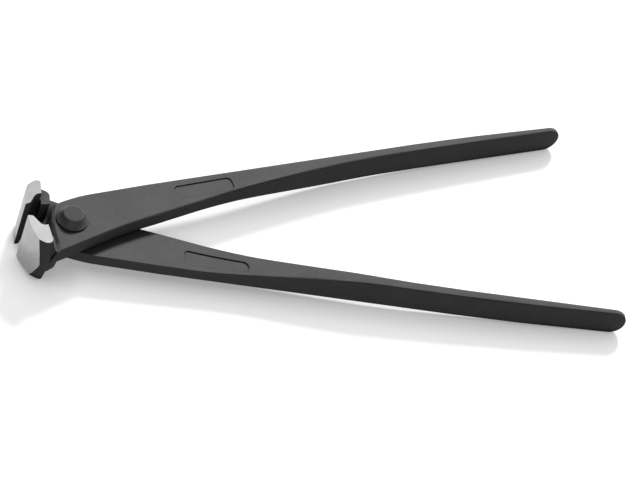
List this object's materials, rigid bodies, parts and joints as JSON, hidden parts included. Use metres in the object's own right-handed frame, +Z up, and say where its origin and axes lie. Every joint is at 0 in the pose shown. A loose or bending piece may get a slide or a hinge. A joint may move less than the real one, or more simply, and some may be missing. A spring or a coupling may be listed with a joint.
{
  "type": "rebar tying pliers",
  "caption": "Rebar tying pliers with crossed black forged halves, broad ground end-cutting jaws, a raised cone-shaped pivot rivet and long plain handles.",
  "frame": {"origin": "centre of the flat on the lower rivet head, on the hinge axis", "axes": "+Z up along the hinge axis, -X from the hinge to the jaws, +X along the handles, at rest midway between them"},
  "size_m": [0.2449, 0.1032, 0.025],
  "materials": {
    "forged_steel": "drop-forged steel, black phosphated, with ground front and end faces on the jaws",
    "rivet_steel": "turned and closed steel rivet, black phosphated"
  },
  "bodies": {
    "lower_half": {"lower_half": "forged_steel", "pivot_rivet": "rivet_steel"},
    "upper_half": {"upper_half": "forged_steel"}
  },
  "joints": [
    {"name": "jaw_hinge", "type": "hinge", "parent": "lower_half", "child": "upper_half", "pos_m": [0, 0, 0.0098], "axis": [0, 0, 1], "range_deg": [-16.3, 46]}
  ]
}
